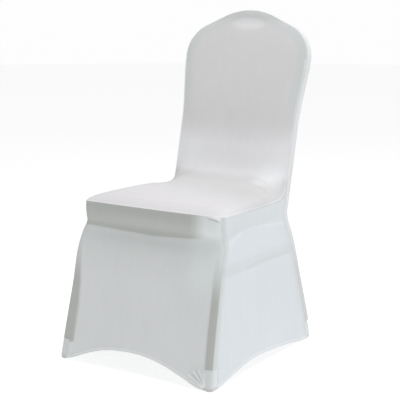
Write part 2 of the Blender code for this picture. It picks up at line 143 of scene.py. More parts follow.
# Height of the seat along its middle, by the same share
SEAT_CROWN = table_of(
    Seam,
    (0.00, 0.4370), (0.08, 0.4400), (0.20, 0.4435), (0.45, 0.4460), (0.80, 0.4420), (1.00, 0.4390),
)
# Height of each hem: across the front and the rear from one foot (-1) to the other (1), and along a
# side from the front foot (0) to the rear foot (1)
FRONT_HEM = table_of(
    Seam,
    (-1.00, HEM_LOW), (-0.90, 0.0095), (-0.72, 0.0260), (-0.47, 0.0435), (-0.20, 0.0510),
    (0.10, 0.0510), (0.40, 0.0400), (0.70, 0.0200), (0.90, 0.0055), (1.00, HEM_LOW),
)
SIDE_HEM = table_of(
    Seam,
    (0.00, HEM_LOW), (0.17, 0.0150), (0.36, 0.0262), (0.56, 0.0245), (0.80, 0.0130), (0.95, 0.0040),
    (1.00, HEM_LOW),
)
REAR_HEM = table_of(
    Seam,
    (-1.00, HEM_LOW), (-0.70, 0.0240), (0.00, 0.0480), (0.70, 0.0240), (1.00, HEM_LOW),
)
Bridge = namedtuple("Bridge", "place width reach")
# Where the cloth spans the inside corner of seat and back: across the seat from -1 to 1, and its size
BRIDGES = (
    Bridge(-0.90, 0.14, 0.035),
    Bridge(0.84, 0.20, 0.075),
)
CREASE_REACH = 0.028  # and its size along the rest of the crease
BRIDGE_RISE = 0.35  # how far the spanning cloth leaves the corner, by its reach
BRIDGE_WAY = (0, -0.62, 0.78)

# Powers that shape the top panel: a higher one keeps it level until nearer its edge
SIDE_EDGE_POWER = 8
FRONT_EDGE_POWER = 12
ROUNDING_POWER = 0.35
SEAM_BLEND_POWER = 3  # how soon the panel leaves the line of the front seam
PADDING_POWER = 4  # how near the crease the seat starts to move forward with the padding
REAR_PULL = 0.010  # how far the tight rear hem is drawn forward between the rear feet

PIECES = ("top_panel", "front_skirt", "side_skirt_right", "side_skirt_left", "back_panel")
TOP, FRONT, RIGHT, LEFT, BACK = range(len(PIECES))
CUP = len(PIECES)  # marks the faces that the foot cups take the place of
X, DEPTH, HEIGHT = range(3)
KEEP, MIRROR = np.array((1.0, 1.0, 1.0)), np.array((-1.0, 1.0, 1.0))  # right side as built, left side

# Fine facets: how many for each facet of the solids, and again near seams, hems and fine folds
FINE = 5
EDGE_BAND, FOLD_BAND = 0.008, 0.006
EDGE_CUTS = 2
FINE_FOLD = 0.0035  # folds narrower than this need the finest facets
POINT_SPACING = 0.0015  # of the points that distances to a seam or hem are measured from
PATH_STEPS = 12  # steps between two points of a fold's path

# Relaxing
SOFTENING_ROUNDS = 3
CREASE_ROUNDS = 520  # how far the cloth bridges the inner corner between seat and back
CREASE_FROM, CREASE_TOP = 0.250, 0.640  # depth and height that the bridging reaches

# Cut and sewing
SEAM_RIDGE, SEAM_WIDTH = 0.0007, 0.0032  # the seam allowance folded under, beside each seam
HEM_RIDGE, HEM_WIDTH, HEM_SOFTNESS = 0.0007, 0.0090, 0.0010  # turned hem
STITCH_TROUGH, STITCH_WIDTH, STITCH_PLACE = 0.0006, 0.0010, 0.80 * HEM_WIDTH
THICKEST = 1.5  # limit of the inner skin's distance at a sharp corner, by the thickness

# Shape of the foot cups
CUP_TOP = 0.0505
CUP_LEVELS = 26
LEVEL_CROWDING = 1.6  # how much closer the levels are near the floor
COLUMN_POINTS = 8  # points of the outline for each facet of the skirt
REAR_STEPS, BEHIND_STEPS = 24, 21  # steps of the outline round a rear corner, and behind a cup
SOLE_ROUNDING, SOLE_INSET = 0.012, 0.40
SOLE_RINGS = 4
END_RISE = 0.0045  # the foot of a cup, where it meets the hems beside it
END_STEPS = 6  # points over which a cup's rounding grows from those hems
FLATTEST = 0.6  # limit of the square-on share of a moved outline
CUP_LAP = 0.0030  # share of the panel by which a front cup laps over it

# Lower edge of the darker band under the seat on the front panel, the seat seen through it with painted
# shade: x and height
BAND_EDGE = ((-0.230, 0.3605), (-0.102, 0.3562), (0.006, 0.3530), (0.119, 0.3590), (0.170, 0.3660))

# The longer folds: depth and height at the side, x and height behind
LEG_PULL = ((0.001, 0.310), (0.012, 0.340), (0.045, 0.360), (0.110, 0.369))
PINCH_PULL = ((0.045, 0.360), (0.130, 0.3695), (0.216, 0.364), (0.360, 0.350))
LEFT_PULL = ((0.001, 0.312), (0.015, 0.344), (0.060, 0.366), (0.200, 0.365), (0.350, 0.352))
REAR_SLACK = ((0.1800, 0.350), (0.0900, 0.3560), (-0.0800, 0.3545), (-0.1800, 0.349))

Fold = namedtuple("Fold", "panel width lift tone taper path")
# Creases as soft ridges (lift above 0) or troughs. A path is in the panel's own two directions:
# x and height in front and behind, depth and height at the side, x and depth on the seat.
# tone is how much darker (or, below 0, lighter) the cloth looks along it: painted shade in troughs and
# painted highlight on ridges, and along the rail's folds the rail also shows through.
# taper is how far from each end the fold fades out.
FOLDS = (
    # fan from the right front foot, and a fainter one from the left
    Fold(FRONT, 0.0020, 0.0016, -0.80, 0.010, ((0.2250, 0.010), (0.1690, 0.033))),
    Fold(FRONT, 0.0021, 0.0018, -0.90, 0.010, ((0.2250, 0.010), (0.1830, 0.046))),
    Fold(FRONT, 0.0020, 0.0018, -0.85, 0.009, ((0.2250, 0.010), (0.1990, 0.055))),
    Fold(FRONT, 0.0016, 0.0013, -0.60, 0.009, ((0.2240, 0.011), (0.2160, 0.050))),
    Fold(FRONT, 0.0018, 0.0012, -0.60, 0.009, ((0.2240, 0.008), (0.1730, 0.022))),
    Fold(FRONT, 0.0012, -0.0008, 0.12, 0.009, ((0.2230, 0.012), (0.1760, 0.039))),
    Fold(FRONT, 0.0012, -0.0008, 0.12, 0.009, ((0.2230, 0.012), (0.1910, 0.051))),
    Fold(FRONT, 0.0018, 0.0007, -0.20, 0.014, ((-0.2150, 0.018), (-0.1850, 0.036))),
    Fold(FRONT, 0.0018, 0.0006, -0.15, 0.012, ((-0.2150, 0.022), (-0.2000, 0.050))),
    # pucker at the right end of the front seam
    Fold(FRONT, 0.0022, 0.0026, -0.60, 0.012, ((0.1740, 0.4262), (0.1980, 0.4235), (0.2190, 0.4180))),
    Fold(FRONT, 0.0016, -0.0018, 0.60, 0.012, ((0.1720, 0.4222), (0.1960, 0.4190), (0.2160, 0.4130))),
    Fold(FRONT, 0.0030, -0.0010, 0.20, 0.014, ((-0.2180, 0.4170), (-0.1900, 0.4195))),
    # lower edge of the band under the seat
    Fold(FRONT, 0.0026, -0.0006, 0.03, 0.030, BAND_EDGE),
    # cloth drawn from each front leg up and back to the pinch
    Fold(RIGHT, 0.0055, 0.0018, -0.14, 0.030, LEG_PULL),
    Fold(RIGHT, 0.0050, 0.0012, -0.10, 0.040, PINCH_PULL),
    Fold(LEFT, 0.0060, 0.0015, -0.10, 0.040, LEFT_PULL),
    # the rail behind the side cloth
    Fold(RIGHT, 0.0030, -0.0008, 0.13, 0.012, ((-0.004, 0.2760), (0.180, 0.2735), (0.366, 0.2680))),
    Fold(RIGHT, 0.0060, -0.0010, 0.05, 0.012, ((-0.004, 0.3010), (0.180, 0.2940), (0.360, 0.2860))),
    Fold(LEFT, 0.0034, -0.0008, 0.12, 0.012, ((-0.004, 0.2770), (0.180, 0.2745), (0.366, 0.2690))),
    Fold(LEFT, 0.0060, -0.0010, 0.05, 0.012, ((-0.004, 0.3000), (0.180, 0.2935), (0.360, 0.2860))),
    # pulls beside the inner corner of seat and back
    Fold(TOP, 0.0060, -0.0018, 0.04, 0.030, ((0.1060, 0.3300), (0.1500, 0.3180), (0.1960, 0.2940))),
    Fold(TOP, 0.0090, -0.0016, 0.03, 0.035, ((0.0600, 0.3560), (0.1200, 0.3520), (0.1700, 0.3300))),
    Fold(TOP, 0.0080, -0.0014, 0.03, 0.035, ((-0.1900, 0.3350), (-0.1500, 0.3560), (-0.0900, 0.3620))),
    # slack of the rear panel, drawn to the feet
    Fold(BACK, 0.0022, 0.0009, -0.10, 0.014, ((0.2100, 0.030), (0.1700, 0.052))),
    Fold(BACK, 0.0022, 0.0009, -0.10, 0.014, ((-0.2100, 0.028), (-0.1750, 0.056))),
    Fold(BACK, 0.0090, -0.0018, 0.05, 0.050, REAR_SLACK),
)
FAN_TOP = 0.03  # folds of the front panel that start below this run on over its cups
CUP_FOLDS = [fold for fold in FOLDS if fold.panel == FRONT and fold.path[0][1] < FAN_TOP]
FOLD_DIRECTIONS = {
    TOP: (X, DEPTH),
    FRONT: (X, HEIGHT),
    RIGHT: (DEPTH, HEIGHT),
    LEFT: (DEPTH, HEIGHT),
    BACK: (X, HEIGHT),
}

# Fullness: how far the cloth stands out at the rear corners of the skirt and at the right shoulder
REAR_FULLNESS, REAR_REACH = 0.0045, 0.030
REAR_FULL_SIDES, REAR_FULL_LOW, REAR_FULL_HIGH = (0.13, 0.20), (0.0, 0.06), (0.40, 0.30)
SHOULDER_FULLNESS, SHOULDER_REACH = 0.0028, 0.075

# What shows through from inside, and painted shade and highlights. A pair gives where a soft edge starts and
# where it is full.
LegStrip = namedtuple("LegStrip", "height right left")
# Width of each front leg where it touches the front panel. Higher up the cloth is held off it.
LEG_STRIP = table_of(
    LegStrip,
    (0.050, 0.0245, 0.040), (0.150, 0.0250, 0.037), (0.210, 0.0240, 0.031), (0.290, 0.0240, 0.020),
    (0.340, 0.0220, 0.012),
)
LEG_SHOWN, LEG_TOP = 0.72, (0.345, 0.200)
LEG_EDGE, LEG_SOFTNESS = (-0.8, 1.0), (0.0025, 0.0050)  # by its softness, and that on the right and left
LEFT_LEG_OUTER = (0.0005, 0.0065)
REAR_LEG_SHOWN, REAR_LEG_WIDTH = 0.30, 0.028
REAR_LEG_EDGE, REAR_LEG_TOP = (-0.003, 0.004), (0.36, 0.20)
BAND_FRAME_AND_SHADE, BAND_TOP_SHADE = 0.7224, 0.0688  # seat seen through and painted shade under the seat's front edge, and the painted shade it gains higher up
BAND_LOWER, BAND_UPPER = (-0.001, 0.0015), (0.002, -0.001)  # from BAND_EDGE and from the seam
BAND_END, BAND_GAIN = (0.182, 0.120), (0.010, 0.055)  # x where it fades out, rise over which it darkens
Hollow = namedtuple("Hollow", "x height half_width half_height")
HAND_HOLD = Hollow(0.003, 0.8925, 0.064, 0.0165)
HAND_HOLD_DENT, HAND_HOLD_EDGE = 0.0022, (-0.0025, 0.0055)
HAND_HOLD_SHOWN, HAND_HOLD_DOUBLE = -0.16, 0.20
CREST_SHOWN, CREST_FROM = 0.19, (-0.004, 0.020)  # crown above the hand-hold, from its middle
BORDER_SHOWN, BORDER_GREEN = 0.10, 0.90
BORDER_EDGE, BORDER_FROM = (0.0456, 0.0060), (0.56, 0.74)  # frame seen round the inside back
WEB_PLACE, WEB_RADIUS = (0.138, 0.374, 0.472), 0.066  # cloth held off the chair at the inner corner, lighter there and given a painted highlight where it faces the light
WEB_OFF_FRAME_HIGHLIGHT, WEB_HIGHLIGHT = -0.20, 0.90
FAN_PLACE, FAN_RADIUS, FAN_SHADE = (0.205, -0.084, 0.024), 0.050, 0.30  # painted shade between the folds of the fan
SEAT_SHADE = 0.34  # the back of the seat, in the shade of the inner corner
SEAT_TOP, SEAT_FROM, SEAT_SKEW = (0.475, 0.448), (0.08, 0.33), 0.35
THINNESS = 0.20  # how much of the inside always shows through one layer
HEM_LINE, HEM_LINE_WIDTH = 0.42, 0.0022
TURN_LINE, TURN_LINE_PLACE = 0.252, 0.85 * HEM_WIDTH
SEAM_LINE, SEAM_LINE_WIDTH = 0.09, 0.0016
# painted highlight on the top panel beside its seams, where its edge turns
SEAM_HIGHLIGHT, SEAM_HIGHLIGHT_PLACE, SEAM_HIGHLIGHT_WIDTH = 0.30, 0.0030, 0.0022

# Tones of the cups: lighter, as double cloth, and painted shade at the floor and where a front one faces
# forward, away from the light
CUP_LIGHTNESS, CUP_FRONT_LIGHTNESS, CUP_GREEN, CUP_FRONT_GREEN = 0.40, 0.24, 0.3, 0.9
CUP_FRONT_SHADE, CUP_FRONT_EDGE = 0.16, (0.010, 0.003)
FOOT_SHADE, FOOT_EDGE = 0.60, (0.014, 0.0)
CUP_EDGE, REAR_CUP_EDGE = 0.003, 0.002
FAN_WRAP = 0.012  # how far round the corner the fan's folds run

# Tones of the sides: the rail by its height at the front seam and its slope, the pinch by depth and height
RAIL_LOWER, RAIL_LOWER_EDGE = (0.2760, -0.022), (-0.001, 0.003)
RAIL_UPPER, RAIL_UPPER_EDGE = (0.3010, -0.042), (0.003, -0.006)
PINCH_ARC = ((0.0, 0.325), (0.02, 0.347), (0.05, 0.361), (0.12, 0.369), (0.22, 0.364), (0.37, 0.349))
PINCH_EDGE, PINCH_FROM = (-0.004, 0.008), (0.004, 0.060)
SIDE_CORNER_EDGE, SIDE_TURN_EDGE, SIDE_REAR_EDGE = (0.030, 0.012), (0.0060, 0.0015), (0.020, 0.004)
SideTone = namedtuple("SideTone", "shown green")
RAIL_TONE = SideTone(0.10, 0.5)
PINCH_TONE = SideTone(0.07, 0.6)
CORNER_TONE = SideTone(0.20, 1.0)
REAR_TONE = SideTone(0.10, 0.6)
TURN_SHOWN = 0.35
SIDE_GREEN = 0.35

Tone = namedtuple("Tone", "field panel amount edges")
# Broad tones. An edge gives a direction, where along it the tone starts and where it is full.
TONES = (
    # front panel: painted shade, darker higher up, but lighter and greener on the right
    Tone("shown", FRONT, 0.04, ()),
    Tone("shown", FRONT, 0.05, ((HEIGHT, 0.19, 0.34),)),
    Tone("shown", FRONT, -0.16, ((X, 0.10, 0.17), (HEIGHT, 0.19, 0.30))),
    Tone("green", FRONT, 0.55, ()),
    Tone("green", FRONT, 0.35, ((X, 0.085, 0.135), (HEIGHT, 0.10, 0.20))),
    # inside back: painted shade where it lies against its board, and painted light below that, where it is
    # held off it and curves to the seat, most at the lower left corner
    Tone("shown", TOP, 0.17, ((HEIGHT, 0.50, 0.62),)),
    Tone("shown", TOP, -0.36, ((HEIGHT, 0.455, 0.49), (HEIGHT, 0.64, 0.50))),
    Tone("double", TOP, 0.26, ((HEIGHT, 0.455, 0.49), (HEIGHT, 0.64, 0.50))),
    Tone("double", TOP, 0.60, ((HEIGHT, 0.47, 0.50), (HEIGHT, 0.60, 0.53), (X, -0.05, -0.15))),
    # outside back
    Tone("green", BACK, 0.35, ()),
)

Cut = namedtuple("Cut", "width length area")

# Colours of the cloth: one layer; one layer on the sides, tinted as by the bluish side light (painted light);
# one layer on the shaded green side; double cloth, also used for painted highlights; and over the chair's
# frame, also used for painted shade
CLOTH_COLOUR = (0.875, 0.855, 0.875)
SIDE_LIT_COLOUR = (0.840, 0.862, 0.915)
GREENER_COLOUR = (0.822, 0.860, 0.866)
DOUBLE_AND_HIGHLIGHT_COLOUR = (0.900, 0.918, 0.925)
FRAME_AND_SHADE_COLOUR = (0.50, 0.515, 0.49)
HEM_DOUBLE, HEM_DOUBLE_FROM = 0.40, 0.85 * HEM_WIDTH
UNEVENNESS = 0.06
STREAK_SCALE = (70.0, 70.0, 4.0)
CLOUD_SCALE = 7.0
WALE_SCALE, COURSE_SCALE = 349.0, 300.0  # wales 0.9 mm apart, courses a little more
KNIT_SURFACE = {
    "Roughness": 0.72,
    "Specular IOR Level": 0.25,
    "Sheen Weight": 0.18,
    "Sheen Roughness": 0.45,
}
PLAIN_SURFACE = {"Roughness": 0.9, "Specular IOR Level": 0.1}

# Stage
FLOOR_RADIUS, FLOOR_SIDES = 13.5, 96
FLOOR_HEIGHT = -0.0015  # clear of the soles of the cups
FLOOR_COLOUR, FLOOR_GLOW = (0.50, 0.50, 0.50), 1.45
BACKDROP_RADIUS, BACKDROP_SEGMENTS, BACKDROP_RINGS = 14.0, 64, 32
BLACK, WHITE = (0, 0, 0), (1, 1, 1)
BACKDROP_GLOW = 0.985
WORLD_COLOUR, WORLD_LIGHT = (0.98, 1.0, 0.985), 0.44
LIT_POINT = (0, 0, 0.45)
Light = namedtuple("Light", "name place size power colour")
LIGHTS = (
    Light("top_light", (0.55, 0.20, 3.1), 1.8, 47, (1.0, 0.97, 1.0)),
    Light("side_light", (3.2, -0.6, 1.4), 1.6, 9.5, (0.74, 0.89, 1.0)),
)
CAMERA_PLACE = (1.6002, -2.4195, 0.9589)
CAMERA_AZIMUTH, CAMERA_PITCH = 33.33, 10.65
LENS, SENSOR_WIDTH = 96.05, 36
FARTHEST = 50


def curve(table, key, field):
    """A smooth function through one column of a table, by another column."""
    places = np.array([getattr(row, key) for row in table])
    values = np.array([getattr(row, field) for row in table])
    slopes = np.gradient(values, places)
    fine = np.linspace(places[0], places[-1], CURVE_STEPS)
    left = np.clip(np.searchsorted(places, fine) - 1, 0, len(places) - 2)
    step = places[left + 1] - places[left]
    s = (fine - places[left]) / step
    smooth = (
        (1 + 2 * s) * (1 - s) ** 2 * values[left]
        + s * (1 - s) ** 2 * step * slopes[left]
        + s**2 * (3 - 2 * s) * values[left + 1]
        - s**2 * (1 - s) * step * slopes[left + 1]
    )
    return lambda place: float(np.interp(place, fine, smooth))


front_width = curve(FRONT_CORNER, "height", "half_width")
front_depth = curve(FRONT_CORNER, "height", "depth")
front_reach = curve(FRONT_CORNER, "height", "reach")
rear_width = curve(REAR_CORNER, "height", "half_width")
rear_depth = curve(REAR_CORNER, "height", "depth")
skirt_bow = curve(SKIRT_BOW, "height", "outward")
side_seam = curve(SIDE_SEAM, "share", "height")
seat_crown = curve(SEAT_CROWN, "share", "height")
front_hem = curve(FRONT_HEM, "share", "height")
side_hem = curve(SIDE_HEM, "share", "height")
rear_hem = curve(REAR_HEM, "share", "height")


def point(x, y, z):
    return np.array((x, y, z))


UP = point(0, 0, 1)


def unit(vector):
    return vector / np.linalg.norm(vector)


def bend(start, corner, end, share):
    """Point at a share of the way round a rounded corner."""
    return (1 - share) ** 2 * start + 2 * share * (1 - share) * corner + share**2 * end


def loose_bend(start, start_handle, end_handle, end, share):
    """Point at a share of the way along a curve that leaves and arrives in the direction of its handles."""
    return (1 - share) * bend(start, start_handle, end_handle, share) + share * bend(
        start_handle, end_handle, end, share
    )


def step_up(share):
    share = min(max(share, 0.0), 1.0)
    return share * share * (3 - 2 * share)


# The back's outline, as half width by height and as height by half width


def board_depth(height):
    return BACK_FOOT_DEPTH + BACK_LEAN * (height - BACK_FOOT_HEIGHT)


def crown_line(half_width):
    """Height of the straight slope of the crown, which runs on past both of its ends."""
    crest_rise = CREST_HALF_WIDTH * math.tan(CROWN_SLOPE / 2)
    return CREST_HEIGHT - crest_rise + (CREST_HALF_WIDTH - half_width) * math.tan(CROWN_SLOPE)


SHOULDER_CENTRE_X = SHOULDER_HALF_WIDTH - SHOULDER_RADIUS
SHOULDER_CENTRE_Z = crown_line(SHOULDER_CENTRE_X) - SHOULDER_RADIUS / math.cos(CROWN_SLOPE)
SHOULDER_TURN = math.radians(30)  # where on the shoulder's arc the side ends and the crown begins
SHOULDER_X = SHOULDER_CENTRE_X + SHOULDER_RADIUS * math.cos(SHOULDER_TURN)
SHOULDER_Z = SHOULDER_CENTRE_Z + SHOULDER_RADIUS * math.sin(SHOULDER_TURN)
SLOPE_END = SHOULDER_CENTRE_X + SHOULDER_RADIUS * math.sin(CROWN_SLOPE)


def board_half_width(height):
    if height > SHOULDER_CENTRE_Z:
        return SHOULDER_CENTRE_X + math.sqrt(SHOULDER_RADIUS**2 - (height - SHOULDER_CENTRE_Z) ** 2)
    rise = (height - WAIST_HEIGHT) / (SHOULDER_CENTRE_Z - WAIST_HEIGHT)
    return WAIST_HALF_WIDTH + (SHOULDER_HALF_WIDTH - WAIST_HALF_WIDTH) * step_up(rise)


def crown_height(x):
    x = abs(x)
    if x < CREST_HALF_WIDTH:
        radius = CREST_HALF_WIDTH / math.sin(CROWN_SLOPE)
        return CREST_HEIGHT - radius + math.sqrt(radius**2 - x**2)
    if x < SLOPE_END:
        return crown_line(x)
    return SHOULDER_CENTRE_Z + math.sqrt(SHOULDER_RADIUS**2 - (x - SHOULDER_CENTRE_X) ** 2)


# The skirt, level by level


def rear_seam(height):
    """Where the side skirt meets the outside back, on the right."""
    if height >= JOIN_HEIGHT:
        return point(board_half_width(height), board_depth(height), height)
    blend = step_up((height - PINCH_HEIGHT) / (JOIN_HEIGHT - PINCH_HEIGHT))
    inset = EDGE_SWELL * blend
    return point(rear_width(height) - inset, rear_depth(height) - BACK_THICKNESS, height)


def front_point(u, height):
    """Point of the front panel: u runs from -1 to 1 between the middles of its rounded corners."""
    half_width, depth, reach = front_width(height), front_depth(height), front_reach(height)
    arc = 2 * ARC_COLUMNS / FRONT_COLUMNS
    q = abs(u)
    corner = point(half_width, depth, height)
    start = corner - point(reach, 0, 0)
    if q > 1 - arc:
        end = corner + reach * unit(rear_seam(height) - corner)
        place = bend(start, corner, end, 0.5 * (q - 1 + arc) / arc)
    elif q > FREE_SHARE:
        place = start - point(CORNER_FLAT * (1 - arc - q) / (1 - arc - FREE_SHARE), 0, 0)
    else:
        inner = half_width - reach - CORNER_FLAT
        share = q / FREE_SHARE
        place = point(inner * share, depth - skirt_bow(height) * (1 - share**2), height)
    return place * point(math.copysign(1, u), 1, 1)


def side_share(s):
    """Share of the free cloth of a side panel from the front foot: columns are closer near the back."""
    start = CUP_COLUMNS / SIDE_COLUMNS
    return 1 - (1 - max(0, s - start) / (1 - start)) ** COLUMN_CROWDING


def side_point(s, height):
    """Point of the right side panel: s runs from 0 at the front seam to 1 at the rear seam."""
    reach = front_reach(height)
    corner = point(front_width(height), front_depth(height), height)
    far = rear_seam(height)
    along = unit(far - corner)
    arc, flat = ARC_COLUMNS / SIDE_COLUMNS, 1 / SIDE_COLUMNS
    if s < arc:
        return bend(corner - point(reach, 0, 0), corner, corner + reach * along, 0.5 + 0.5 * s / arc)
    start = corner + reach * along
    if s < arc + flat:
        return start + CORNER_FLAT * (s - arc) / flat * along
    start = start + CORNER_FLAT * along
    share = side_share(s)
    return start + share * (far - start) + point(4 * skirt_bow(height) * share * (1 - share), 0, 0)


def row_height(row, top, hem):
    """Height of a row of the skirt: the band under the seat seam, then the drop to the hem."""
    if row <= BAND_ROWS:
        return top + (PINCH_HEIGHT - top) * row / BAND_ROWS
    drop = np.interp(row - BAND_ROWS, range(len(DROP_SHARES)), DROP_SHARES)
    return PINCH_HEIGHT + (hem - PINCH_HEIGHT) * float(drop)


def front_skirt(u, row):
    return front_point(u, row_height(row, FRONT_SEAM_HEIGHT, front_hem(u / FREE_SHARE)))


def side_skirt(s, row):
    return side_point(s, row_height(row, side_seam(s), side_hem(side_share(s))))


# The top panel


def column_share(u):
    """How far a column stands from the middle, as a share of the half width."""
    return front_point(u, side_seam(0))[0] / front_point(1, side_seam(0))[0]


def back_row_share(v):
    return (v - 1) ** ROW_CROWDING


def top_side(v):
    """The right edge of the top panel: v from 0 to 1 beside the seat, from 1 to 2 beside the back."""
    if v <= 1:
        return side_skirt(v, 0)
    return rear_seam(JOIN_HEIGHT + (SHOULDER_Z - JOIN_HEIGHT) * back_row_share(v))


def bridge_reach(across):
    spans = (b.reach * math.exp(-(((across - b.place) / b.width) ** 2)) for b in BRIDGES)
    return CREASE_REACH + sum(spans)


def top_panel(u, v):
    """Seat for v from 0 to 1, inside back for v from 1 to 2."""
    across = column_share(u)
    side = top_side(v)
    place = side * point(across, 1, 1)
    inside = 1 - abs(across) ** SIDE_EDGE_POWER
    crease = top_side(1)
    if v <= 1:
        place += (front_skirt(u, 0) - top_side(0) * point(across, 1, 1)) * (1 - v) ** SEAM_BLEND_POWER
        rise = seat_crown(v) - side[2]
        place[2] += rise * inside**ROUNDING_POWER * (1 - (1 - v) ** FRONT_EDGE_POWER)
        gap = crease[1] - place[1]
        place[1] -= BACK_PADDING * inside * v**PADDING_POWER
    else:
        lift = (crown_height(across * SHOULDER_X) - SHOULDER_Z) * back_row_share(v)
        raised = step_up(2 - v) * (seat_crown(1) - crease[2]) * inside**ROUNDING_POWER
        height = side[2] + lift + raised
        swell = BACK_PADDING * inside * (1 - (v - 1) ** SIDE_EDGE_POWER)
        place = point(place[0], board_depth(height) - swell, height)
        gap = height - crease[2] - raised
    reach = bridge_reach(across)
    span = BRIDGE_RISE * reach * max(0, 1 - gap / reach) ** 2 * math.sqrt(inside)
    return place + span * point(*BRIDGE_WAY)


# The outside back: a strip wrapped round the edge, then the rear face


def rim_point(p):
    """The edge that the outside back starts from: p from 0 at the right hem to 1 at the seat,
    to 2 at the shoulder, to 3 at the other shoulder."""
    if p <= 1:
        return side_skirt(1, SKIRT_ROWS * (1 - p))
    if p <= 2:
        return top_side(p)
    return top_panel(1 - 2 * (p - 2), 2)


def wrap_frame(p):
    """Seam point, control corner and rear border of the wrapped strip at one place of the edge."""
    seam = rim_point(p)
    tangent = unit(rim_point(min(p + TANGENT_STEP, 3)) - rim_point(max(p - TANGENT_STEP, 0)))
    lean = step_up((seam[2] - PINCH_HEIGHT) / (JOIN_HEIGHT - PINCH_HEIGHT))
    rearward = unit(point(0, 1, -BACK_LEAN * lean))
    outward = np.cross(rearward, tangent)
    outward = unit(outward if p > 1 else point(1, 0, 0))
    corner = seam + EDGE_SWELL * lean * outward + BACK_THICKNESS * rearward
    return seam, corner, corner - EDGE_WRAP * outward


def wrap(p, w):
    seam, corner, border = wrap_frame(p)
    return bend(seam, corner, border, w)


def rear_face(u, p):
    """Point of the rear face: p from 0 at the hem to 1 at the seat, to 2 at the shoulder."""
    across = column_share(u)
    border = wrap(p, 1)
    place = border * point(across, 1, 1)
    if p <= 1:
        place[2] += (rear_hem(across) - HEM_LOW) * (1 - p) ** 2
        place[1] -= REAR_PULL * (1 - across**2) * (1 - p) ** 3
    else:
        top, corner = wrap(2.5 - u / 2, 1), wrap(2, 1)
        ruled = corner * point(across, 1, 1)
        place += (top - ruled) * back_row_share(p)
    return place


# The welded surface


def add_grid(cover, label, columns, rows, place, flip=False, in_cup=None):
    """Adds a grid of faces to the whole cover, each marked with the piece that it belongs to."""
    columns, rows = columns * FINE, rows * FINE
    steps = range(rows + 1)
    verts = [[cover.verts.new(place(i / FINE, j / FINE)) for j in steps] for i in range(columns + 1)]
    for i in range(columns):
        for j in range(rows):
            corners = [verts[i][j], verts[i][j + 1], verts[i + 1][j + 1], verts[i + 1][j]]
            face = cover.faces.new(corners[::-1] if flip else corners)
            face.material_index = CUP if in_cup and in_cup(i // FINE, j // FINE) else label


def column_place(i):
    return 2 * i / FRONT_COLUMNS - 1


def top_row_place(k):
    return k / SIDE_COLUMNS if k <= SIDE_COLUMNS else 1 + (k - SIDE_COLUMNS) / BACK_ROWS


def rim_place(m):
    if m <= SKIRT_ROWS:
        return m / SKIRT_ROWS
    if m <= REAR_ROWS:
        return 1 + (m - SKIRT_ROWS) / BACK_ROWS
    return 2 + (m - REAR_ROWS) / FRONT_COLUMNS


def add_side(cover, label, mirror):
    """One side skirt, and the strip of the outside back that wraps round the edge beside it."""
    left = mirror is MIRROR
    cup_row = SKIRT_ROWS - CUP_ROWS
    add_grid(
        cover, label, SIDE_COLUMNS, SKIRT_ROWS,
        lambda k, j: side_skirt(k / SIDE_COLUMNS, j) * mirror,
        flip=left,
        in_cup=lambda k, j: j >= cup_row and k < CUP_COLUMNS,
    )
    add_grid(
        cover, BACK, WRAP_COLUMNS, REAR_ROWS,
        lambda w, m: wrap(rim_place(m), w / WRAP_COLUMNS) * mirror,
        flip=not left,
        in_cup=lambda w, m: m < CUP_ROWS,
    )


def whole_cover():
    cover = bmesh.new()
    add_grid(
        cover, TOP, FRONT_COLUMNS, SIDE_COLUMNS + BACK_ROWS,
        lambda i, k: top_panel(column_place(i), top_row_place(k)),
        flip=True,
    )
    free_columns = range(CUP_COLUMNS, FRONT_COLUMNS - CUP_COLUMNS)
    add_grid(
        cover, FRONT, FRONT_COLUMNS, SKIRT_ROWS,
        lambda i, j: front_skirt(column_place(i), j),
        in_cup=lambda i, j: j >= SKIRT_ROWS - CUP_ROWS and i not in free_columns,
    )
    add_side(cover, RIGHT, KEEP)
    add_side(cover, LEFT, MIRROR)
    add_grid(
        cover, BACK, WRAP_COLUMNS, FRONT_COLUMNS,
        lambda w, i: wrap(rim_place(REAR_ROWS + i), w / WRAP_COLUMNS),
        flip=True,
    )
    add_grid(cover, BACK, FRONT_COLUMNS, REAR_ROWS, lambda i, m: rear_face(column_place(i), rim_place(m)))
    bmesh.ops.remove_doubles(cover, verts=cover.verts, dist=WELD)
    return cover


def relax(cover, verts, rounds):
    for _ in range(rounds):
        bmesh.ops.smooth_vert(
            cover, verts=verts, factor=0.5, use_axis_x=True, use_axis_y=True, use_axis_z=True
        )


def soften(cover):
    """Relaxes the surface a little, as stretched cloth does, with its hems held."""
    inner = [vert for vert in cover.verts if not vert.is_boundary]
    relax(cover, inner, SOFTENING_ROUNDS)
    corner = [
        vert
        for vert in inner
        if vert.co.y > CREASE_FROM
        and vert.co.z < CREASE_TOP
        and all(face.material_index == TOP for face in vert.link_faces)
    ]
    relax(cover, corner, CREASE_ROUNDS)


# Fields over the surface: arrays with one value for each point


def places_of(surface):
    return np.array([vert.co for vert in surface.verts])


def ramp(value, start, full):
    """0 at the start and 1 where it is full, smooth between them. It can rise or fall."""
    share = np.clip((value - start) / (full - start), 0, 1)
    return share * share * (3 - 2 * share)


def ridge(distance, width):
    return np.exp(-((distance / width) ** 2))


def smooth_path(path):
    """A smooth line through the points of a fold."""
    path = np.array(path, float)
    if len(path) < 3:
        return path
    ends = np.vstack([2 * path[0] - path[1], path, 2 * path[-1] - path[-2]])
    line = []
    for a, b, c, d in zip(ends, ends[1:], ends[2:], ends[3:]):
        square, cube = 2 * a - 5 * b + 4 * c - d, 3 * b - a - 3 * c + d
        for t in np.arange(PATH_STEPS) / PATH_STEPS:
            line.append(0.5 * (2 * b + (c - a) * t + square * t**2 + cube * t**3))
    return np.array([*line, path[-1]])


